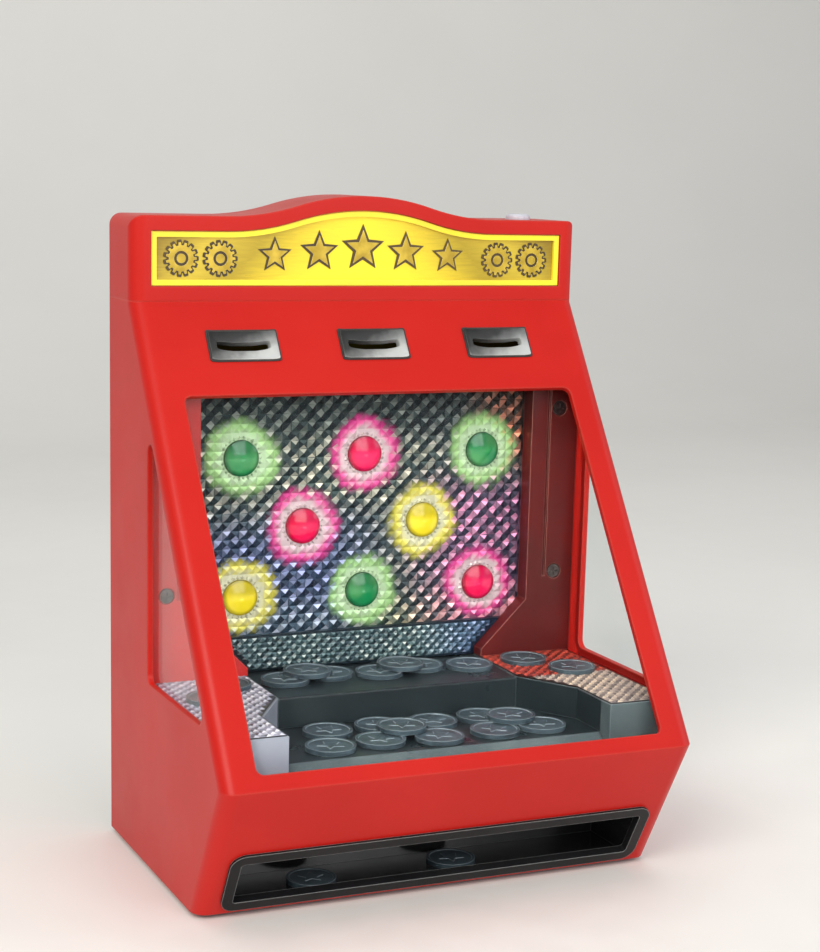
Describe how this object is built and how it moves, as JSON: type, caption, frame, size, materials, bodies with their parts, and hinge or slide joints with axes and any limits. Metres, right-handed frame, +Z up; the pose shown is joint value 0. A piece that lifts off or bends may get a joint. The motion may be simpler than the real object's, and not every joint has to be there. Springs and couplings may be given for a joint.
{
  "type": "toy coin pusher machine",
  "caption": "Tabletop toy coin pusher: red cabinet with sloping window, crested sign, coin slots, lit backboard, moving shelf over a fixed bed, and front coin tray.",
  "frame": {"origin": "on the table, under the middle of the cabinet's bounding box", "axes": "+X to the player's right, +Y from the nose to the back cover, +Z up"},
  "size_m": [0.2, 0.148, 0.273],
  "materials": {
    "cabinet_red": "glossy red ABS",
    "back_black": "fine matt texture",
    "steel_screw": "zinc plated",
    "rubber": "matt",
    "clear_pane": "clear polystyrene",
    "bezel_silver": "metallised plastic",
    "chute_black": "glossy black",
    "sign_gold": "printed gold",
    "sign_yellow": "bright yellow",
    "button_grey": "pale grey",
    "circuit_board": "green solder mask",
    "board_black": "moulded",
    "foil": "prismatic foil",
    "lens_green": "translucent",
    "lens_red": "translucent",
    "lens_yellow": "translucent",
    "lamp_clear": "clear epoxy",
    "playfield_slate": "satin slate grey",
    "gear_white": "natural acetal",
    "deck_grey": "moulded grey",
    "motor_steel": "plated",
    "contact_spring": "nickel plated",
    "cell_jacket": "printed jacket",
    "speaker_cone": "paper cone in a steel frame",
    "switch_black": "ribbed",
    "coin_metal": "blue-grey metallic tokens"
  },
  "bodies": {
    "cabinet": {"cabinet_body": "cabinet_red", "header_shell": "cabinet_red", "inner_frame_left": "cabinet_red", "inner_frame_right": "cabinet_red", "back_cover": "back_black", "base_plate": "back_black", "battery_door": "back_black", "back_screws": "steel_screw", "base_screws": "steel_screw", "frame_screws": "steel_screw", "crank_axle": "steel_screw", "rubber_feet": "rubber", "front_window": "clear_pane", "side_window_left": "clear_pane", "side_window_right": "clear_pane", "slot_bezel_left": "bezel_silver", "slot_bezel_centre": "bezel_silver", "slot_bezel_right": "bezel_silver", "slot_chutes": "chute_black", "win_chute": "chute_black", "coin_tray": "chute_black", "tray_bezel": "chute_black", "marquee_panel": "sign_gold", "marquee_border": "sign_yellow", "marquee_cogs": "sign_yellow", "marquee_stars": "sign_yellow", "led_board": "circuit_board", "main_board": "circuit_board", "start_switch": "board_black", "board_parts": "board_black", "power_switch_body": "board_black", "backboard": "foil", "pusher_skirt": "foil", "ledge_foils": "foil", "lenses_green": "lens_green", "lenses_red": "lens_red", "lenses_yellow": "lens_yellow", "led_lamps": "lamp_clear", "playfield_bed": "playfield_slate", "side_ledge_left": "playfield_slate", "side_ledge_right": "playfield_slate", "mechanism_deck": "deck_grey", "battery_box": "deck_grey", "gearmotor_case": "deck_grey", "motor_can": "motor_steel", "nudge_sensor": "motor_steel", "speaker_magnet": "motor_steel", "battery_contacts": "contact_spring", "battery_cells": "cell_jacket", "speaker_basket": "speaker_cone", "coins_on_shelf": "coin_metal", "coins_on_bed": "coin_metal", "loose_coins": "coin_metal"},
    "pusher": {"pusher_shelf": "playfield_slate", "pusher_yoke": "playfield_slate"},
    "crank": {"crank_gear": "gear_white"},
    "pinion": {"motor_pinion": "gear_white"},
    "button": {"start_button": "button_grey"},
    "power_slider": {"power_switch_slider": "switch_black"}
  },
  "joints": [
    {"name": "crank_turn", "type": "hinge", "parent": "cabinet", "child": "crank", "pos_m": [0, 0.055, 0.0496], "axis": [0, 0, 1], "range_deg": [0, 180]},
    {"name": "pusher_slide", "type": "slide", "parent": "cabinet", "child": "pusher", "axis": [0, 1, 0], "range_m": [0, 0.012]},
    {"name": "pinion_turn", "type": "hinge", "parent": "cabinet", "child": "pinion", "pos_m": [-0.01935, 0.055, 0.0496], "axis": [0, 0, 1], "range_deg": [-540, 0]},
    {"name": "start_button_press", "type": "slide", "parent": "cabinet", "child": "button", "axis": [0, 0, -1], "range_m": [0, 0.0015], "stiffness_N_per_m": 400, "springref_m": -0.001},
    {"name": "power_switch_slide", "type": "slide", "parent": "cabinet", "child": "power_slider", "axis": [1, 0, 0], "range_m": [0, 0.004]}
  ],
  "couplings": [
    {"joint": "crank_turn", "follows": "pusher_slide", "rad_per_m": 261.8},
    {"joint": "pinion_turn", "follows": "pusher_slide", "rad_per_m": -785.4}
  ]
}
